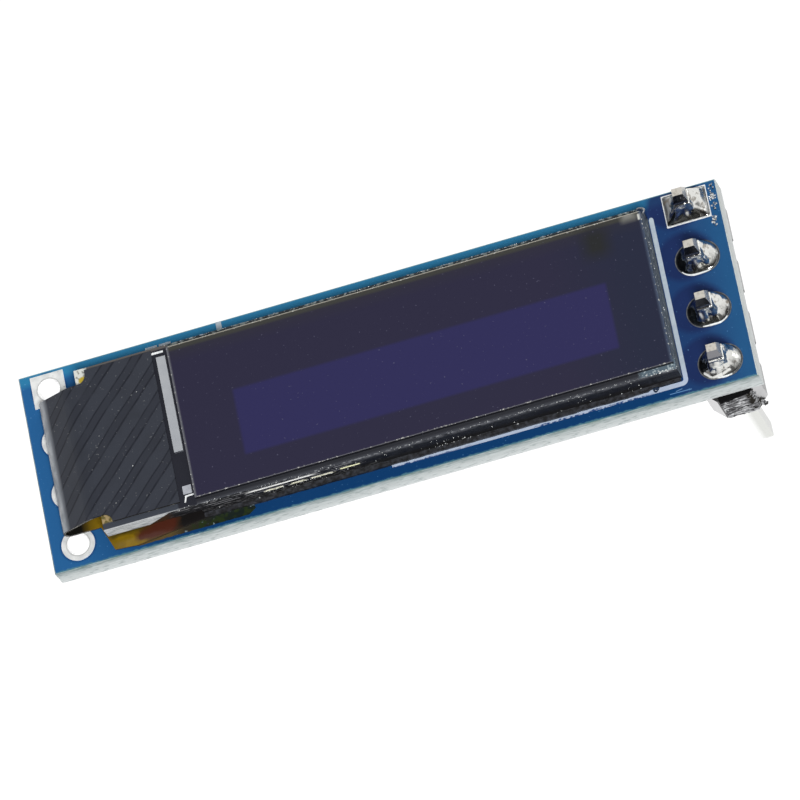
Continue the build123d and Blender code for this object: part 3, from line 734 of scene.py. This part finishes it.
def solder_mesh(n, steps=72, levels=20):
    """A joint as rings: the plug's two in the hole, then the cone's, and one on the cut end of the pin."""
    lo, hi = box_of(f"solder_joint_{n}")
    height = hi.z - pad_top
    angles = [math.tau * k / steps for k in range(steps)]
    feet = [pad_reach(angle, *joint_half_sizes(n), n == 1) for angle in angles]
    rings = [([PLUG_R] * steps, lo.z), ([PLUG_R] * steps, pad_top)]
    for level in range(levels + 1):
        t = level / levels
        reaches = [solder_profile(n, angle, t, foot) for angle, foot in zip(angles, feet)]
        rings.append((reaches, pad_top + height * t ** 1.15))
    on_pin = [PIN_HALF / max(abs(math.cos(angle)), abs(math.sin(angle))) for angle in angles]
    rings.append((on_pin, hi.z + 0.015))
    points = [(r * math.cos(angle), pin_ys[n - 1] + r * math.sin(angle), z)
              for reaches, z in rings for r, angle in zip(reaches, angles)]
    faces = []
    for a in range(0, steps * (len(rings) - 1), steps):
        faces += [(a + k, a + (k + 1) % steps, a + steps + (k + 1) % steps, a + steps + k)
                  for k in range(steps)]
    faces += [tuple(reversed(range(steps))), tuple(range(len(points) - steps, len(points)))]
    joint = piece(f"solder_{n}", points, faces, solder, smooth=True)
    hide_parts(f"solder_joint_{n}")


for n in ROWS:
    solder_mesh(n)


# Small shards: chips along the glass edges, dust on the film and flakes on the board

def shards(name, places, size, paint, flat=0.4):
    """Tiny irregular pyramids at the given places, all in one piece."""
    points, faces = [], []
    for place in places:
        grow = random.uniform(0.5, 1.5) * size
        first, count = len(points), random.choice((3, 4, 5))
        turn = random.uniform(0, math.tau)
        for k in range(count):
            angle = turn + math.tau * k / count
            reach = grow * random.uniform(0.6, 1.3)
            points.append(place + Vector((reach * math.cos(angle), reach * math.sin(angle), -0.2 * grow)))
        points.append(place + Vector((0, 0, grow * flat)))
        faces += [(first + k, first + (k + 1) % count, first + count) for k in range(count)]
        faces.append(tuple(first + k for k in reversed(range(count))))
    piece(name, points, faces, paint)


def along(start, stop, count, stray):
    """Random places on a line, with a little scatter across it."""
    start, stop = Vector(start), Vector(stop)
    run = stop - start
    across = Vector((-run.y, run.x, 0)).normalized()
    return [start + run * random.random() + across * random.uniform(-stray, stray) for _ in range(count)]


def scattered(count, *spans):
    """Random places in a box. Each axis has a pair of ends, or one number that all the places share."""
    return [Vector([random.uniform(*span) if isinstance(span, tuple) else span for span in spans])
            for _ in range(count)]


top = glass_hi.z
front_y, back_y, right_x = glass_lo.y + 0.02, glass_hi.y - 0.02, glass_hi.x - 0.01
chips = along((PALE_END, front_y, top), (glass_hi.x, front_y, top), 160, 0.06)
chips += scattered(70, (-23.5, -3), glass_lo.y, (rear_lo.z, top - 0.1))
chips += scattered(40, (-20.9, -17.8), glass_lo.y, (rear_hi.z - 0.03, rear_hi.z + 0.08))
chips += scattered(14, (-13.8, -11.5), rear_lo.y, (rear_lo.z, rear_lo.z + 0.06))
chips += along((-24.5, back_y, top), (glass_hi.x, back_y, top), 90, 0.02)
chips += along((right_x, -3.9, top), (right_x, 3.4, top), 26, 0.03)
chips += scattered(9, glass_hi.x, (-4, 3.5), (glass_lo.z + 0.3, top))
shards("glass_chips", chips, 0.022, sparkle)
shards("corner_chips", scattered(30, (-3.2, -1.8), (glass_lo.y, glass_lo.y + 0.12), top), 0.04, sparkle)

near_y, far_y, polar_top = polar_lo.y + 0.015, polar_hi.y - 0.015, polar_hi.z
rim = along((polar_lo.x, near_y, polar_top), (polar_hi.x, near_y, polar_top), 60, 0.01)
rim += along((polar_lo.x, far_y, polar_top), (polar_hi.x, far_y, polar_top), 110, 0.012)
shards("polarizer_chips", rim, 0.016, sparkle)

DUST = ((-27.46, -3.01), (-26.63, -2.32), (-26.57, -0.68), (-26.1, -0.18), (-27.65, 0.33),
        (-24.9, -3.2), (-25.6, 1.9), (-26.4, -1.5), (-27.1, -1.9), (-25.3, -2.9))
shards("dust", [Vector((x, y, film_hi.z)) for x, y in DUST], 0.026, sparkle)

flakes = scattered(26, (1.08, 1.36), (3.3, 4.55), board_hi.z)
flakes += scattered(16, (0.95, 1.2), (2.5, 3.05), board_hi.z)
shards("board_flakes", flakes, 0.078, flake)
scars = [place + offset for place in flakes for offset in scattered(1, (-0.06, 0.06), (-0.08, 0.08), 0)]
shards("board_scars", scars, 0.085, flux, flat=0.2)


# Glue: a bead in a paler ring at the panel's far right corner, and one at its near foot

def bead(name, centre, radius, height, paint, steps=24, levels=8):
    """A low dome with a slightly three-lobed outline."""
    points, faces = [], []
    for level in range(levels):
        rise = math.pi / 2 * level / levels
        for k in range(steps):
            angle = math.tau * k / steps
            reach = radius * math.cos(rise) * (1 + 0.12 * math.sin(3 * angle + 1))
            points.append((centre[0] + reach * math.cos(angle), centre[1] + reach * math.sin(angle),
                           centre[2] + height * math.sin(rise)))
    points.append((centre[0], centre[1], centre[2] + height))
    for level in range(levels - 1):
        a, b = level * steps, (level + 1) * steps
        faces += [(a + k, a + (k + 1) % steps, b + (k + 1) % steps, b + k) for k in range(steps)]
    last = (levels - 1) * steps
    faces += [(last + k, last + (k + 1) % steps, levels * steps) for k in range(steps)]
    faces.append(tuple(reversed(range(steps))))
    piece(name, points, faces, paint, smooth=True)


bead("corner_bead_rim", (-1.85, glass_hi.y - 0.12, top - 0.04), 0.2, 0.05, seal)
bead("corner_bead", (-1.87, glass_hi.y - 0.13, top - 0.02), 0.16, 0.08, flux)
bead("glue_bead", (-3.05, glass_lo.y - 0.13, board_hi.z + 0.02), 0.15, 0.12, flux)


# Foil marks on the ledge: an angle below the square mark and a short bar at the far end

def prism(name, outline, low, high, paint):
    """A flat prism over an outline in the XY plane."""
    count = len(outline)
    points = [(x, y, z) for z in (low, high) for x, y in outline]
    faces = [tuple(reversed(range(count))), tuple(range(count, 2 * count))]
    faces += [(k, (k + 1) % count, (k + 1) % count + count, k + count) for k in range(count)]
    piece(name, points, faces, paint)


FOIL = 0.008
angle_mark = [(-24.44, -3.86), (-24.38, -3.86), (-24.3, -3.62),
              (-23.96, -3.6), (-23.96, -3.53), (-24.36, -3.54)]
bar_mark = [(-24.86, 3.44), (-24.1, 3.44), (-24.1, 3.53), (-24.86, 3.55)]
prism("ledge_angle", angle_mark, top, top + FOIL, white)
prism("ledge_bar", bar_mark, top, top + FOIL, white)


# Thin menisci at the near foot of the oblong joints, white as painted highlights

def foot_arc(n, first, last, wide=0.05, steps=24):
    """A crescent along a joint's outline between two angles in degrees, tucked a little under the joint."""
    tuck, low, high = 0.03, board_hi.z + 0.005, pad_top + 0.015
    points = []
    for k in range(steps + 1):
        angle = math.radians(first + (last - first) * k / steps)
        reach = pad_reach(angle, *joint_half_sizes(n))
        far = reach + wide * math.sin(math.pi * (0.08 + 0.84 * k / steps))
        for r in (reach - tuck, far):
            for z in (low, high):
                points.append((r * math.cos(angle), pin_ys[n - 1] + r * math.sin(angle), z))
    faces = [(0, 2, 3, 1), tuple(4 * steps + i for i in (1, 3, 2, 0))]
    for k in range(0, 4 * steps, 4):
        faces += [(k + i, k + i + 4, k + j + 4, k + j) for i, j in ((1, 0), (0, 2), (2, 3), (3, 1))]
    piece(f"foot_arc_{n}", points, faces, white)


foot_arc(2, -150, -55)
foot_arc(3, -120, -35)
foot_arc(4, -110, -60)


# The rough face where the header strip was snapped off, with a torn lip round to the right

def break_face(columns=64, levels=44):
    """A ridged sheet over the strip's near end, with a sill up to the board and a flat back."""
    left, right = -0.64, 0.9
    low, high = house_lo.z + 0.01, house_hi.z + 0.01
    proud, relief, overlap = 0.012, 0.085, 0.01
    width = columns + 1

    def plastic(x):
        """Where the strip's near end lies at x, which is slanted off past its corner."""
        return house_lo.y + max(0.0, x - (house_hi.x - STRIP_CORNER))

    points, faces = [], []
    for j in range(levels + 1):
        for i in range(width):
            x, z = left + (right - left) * i / columns, low + (high - low) * j / levels
            coarse, fine = (noise.noise(Vector(at)) for at in ((x * 2.2, z * 7.0, 1.7), (x * 6, z * 16, 4)))
            y = plastic(x) - proud - relief * (abs(coarse) + 0.5 * abs(fine))
            ragged = 0.14 * noise.noise(Vector((z * 6, 8.1, 0)))
            points.append((x + (ragged if i == columns else 0), y, z))
    for j in range(levels):
        for i in range(columns):
            a = j * width + i
            faces.append((a, a + 1, a + width + 1, a + width))
    upper = levels * width
    border = list(range(width)) + [j * width + columns for j in range(1, levels + 1)]
    border += [upper + i for i in range(columns - 1, -1, -1)] + [j * width for j in range(levels - 1, 0, -1)]
    sill = len(points)
    points += [(points[upper + i][0], board_lo.y + 0.005, house_hi.z + 0.012) for i in range(width)]
    faces += [(upper + i, upper + i + 1, sill + i + 1, sill + i) for i in range(columns)]
    first, count = len(points), len(border)
    for x, _, z in [points[index] for index in border]:
        points.append((x, plastic(x) + overlap, z))
    faces += [(border[k], first + k, first + (k + 1) % count, border[(k + 1) % count]) for k in range(count)]
    faces.append(tuple(first + k for k in reversed(range(count))))
    piece("break_face", points, faces, broken)


break_face()
LIP_LEFT, LIP_RIGHT, LIP_TOP, LIP_FALL = 0.78, 1.16, 0.95, 1.15
lip = scattered(26, (LIP_LEFT, LIP_RIGHT), (house_lo.y, house_lo.y + 0.1), 0.0)
for shard in lip:
    shard.z = LIP_TOP - LIP_FALL * (shard.x - LIP_LEFT) + random.uniform(-0.3, 0.3)
shards("torn_lip", lip, 0.1, broken, flat=0.9)


# Dark glue and painted shade along the panel's near foot, and the film's own strip of cover that runs on
# beside it

def wavy(start, stop, y, stray, count):
    """Points from start to stop in x at about the height y."""
    return [(start + (stop - start) * k / count, y + random.uniform(-stray, stray)) for k in range(count + 1)]


glue_and_shade = plain_paint("glue_and_shade_black", rgb(10, 10, 13), rgb(46, 48, 54), 5, 0.5)
foot = wavy(-23.9, -3.4, -4.3, 0.015, 66) + wavy(-3.2, -1.85, -4.19, 0.01, 5)
foot += [(-1.85, -4.05), (-23.9, -4.05)]
prism("glue_and_shade_strip", foot, board_hi.z, board_hi.z + 0.16, glue_and_shade)
skirt = wavy(-27.2, -21.95, -4.68, 0.015, 30) + [(-21.6, -4.45), (-21.7, -4.15), (-27.2, -4.15)]
prism("film_skirt", skirt, board_hi.z, board_hi.z + 0.03, skirt_paint())


# Floor at the level of the pins' tips, bright enough to come out as the photograph's white ground

FLOOR_SIZE = 1.2
FLOOR_GLOW = 1.03
floor_z = pin_boxes[0][0].z * MM
bpy.ops.mesh.primitive_plane_add(size=FLOOR_SIZE, location=(0, 0, floor_z))
floor = bpy.context.object
floor.name = "floor"
ground = Paint("floor_pale", (0.05, 0.05, 0.05))
ground.done(Roughness=1.0, Specular_IOR_Level=0.0, Emission_Color=(1.0, 1.0, 1.0),
            Emission_Strength=FLOOR_GLOW)
floor.data.materials.append(ground.material)


# Light

def studio_sky():
    """A pale sky, brightest low down and at the far side, and dim overhead and at the near side."""
    world = bpy.data.worlds.new("studio")
    bpy.context.scene.world = world
    world.use_nodes = True
    tree = world.node_tree
    tree.nodes.clear()
    coord = tree.nodes.new("ShaderNodeTexCoord")
    split = tree.nodes.new("ShaderNodeSeparateXYZ")
    tree.links.new(coord.outputs["Generated"], split.inputs[0])
    up, far = split.outputs[2], split.outputs[1]
    shares = []
    for way, dim_at, bright_at, least in ((up, 0.6, 0.22, 0.08), (far, -0.75, -0.15, 0.12)):
        ramp = tree.nodes.new("ShaderNodeMapRange")
        ramp.interpolation_type = "SMOOTHSTEP"
        tree.links.new(way, ramp.inputs["Value"])
        ramp.inputs["From Min"].default_value = dim_at
        ramp.inputs["From Max"].default_value = bright_at
        ramp.inputs["To Min"].default_value = least
        shares.append(ramp.outputs[0])
    product = tree.nodes.new("ShaderNodeMath")
    product.operation = "MULTIPLY"
    for socket, share in zip(product.inputs, shares):
        tree.links.new(share, socket)
    sky = tree.nodes.new("ShaderNodeBackground")
    tree.links.new(product.outputs[0], sky.inputs["Strength"])
    sky.inputs["Color"].default_value = (1.0, 1.0, 1.0, 1.0)
    end = tree.nodes.new("ShaderNodeOutputWorld")
    tree.links.new(sky.outputs[0], end.inputs[0])


def softbox(name, place, size, power):
    """A rectangular area light in metres, aimed at the middle of the part."""
    data = bpy.data.lights.new(name, "AREA")
    data.shape = "RECTANGLE"
    data.size, data.size_y = size
    data.energy = power
    light = bpy.data.objects.new(name, data)
    bpy.context.scene.collection.objects.link(light)
    light.location = place
    light.rotation_euler = (Vector(PART_MIDDLE) - Vector(place)).to_track_quat("-Z", "Y").to_euler()


PART_MIDDLE = (-0.0148, 0, 0.003)
studio_sky()
softbox("key_right", place=(0.27, 0.19, 0.19), size=(0.36, 0.30), power=0.42)
softbox("fill_near", place=(0.06, -0.22, 0.38), size=(0.14, 0.14), power=2.4)


# Camera, solved from the photograph's own points

PHOTO_WIDTH = 800
FOCAL_PIXELS = 9708.69
camera_data = bpy.data.cameras.new("camera")
camera_data.sensor_width = 36
camera_data.lens = FOCAL_PIXELS / PHOTO_WIDTH * camera_data.sensor_width
camera_data.clip_start, camera_data.clip_end = 0.01, 5
camera = bpy.data.objects.new("camera", camera_data)
bpy.context.scene.collection.objects.link(camera)
right = Vector((0.947762, -0.184571, -0.260157))
above = Vector((0.270363, 0.897618, 0.348119))
behind = Vector((0.169269, -0.40027, 0.900629))
stand = Vector((58.126, -172.652, 388.639)) * MM
camera.matrix_world = Matrix.Translation(stand) @ Matrix((right, above, behind)).transposed().to_4x4()
bpy.context.scene.camera = camera
bpy.context.scene.view_settings.view_transform = "Standard"
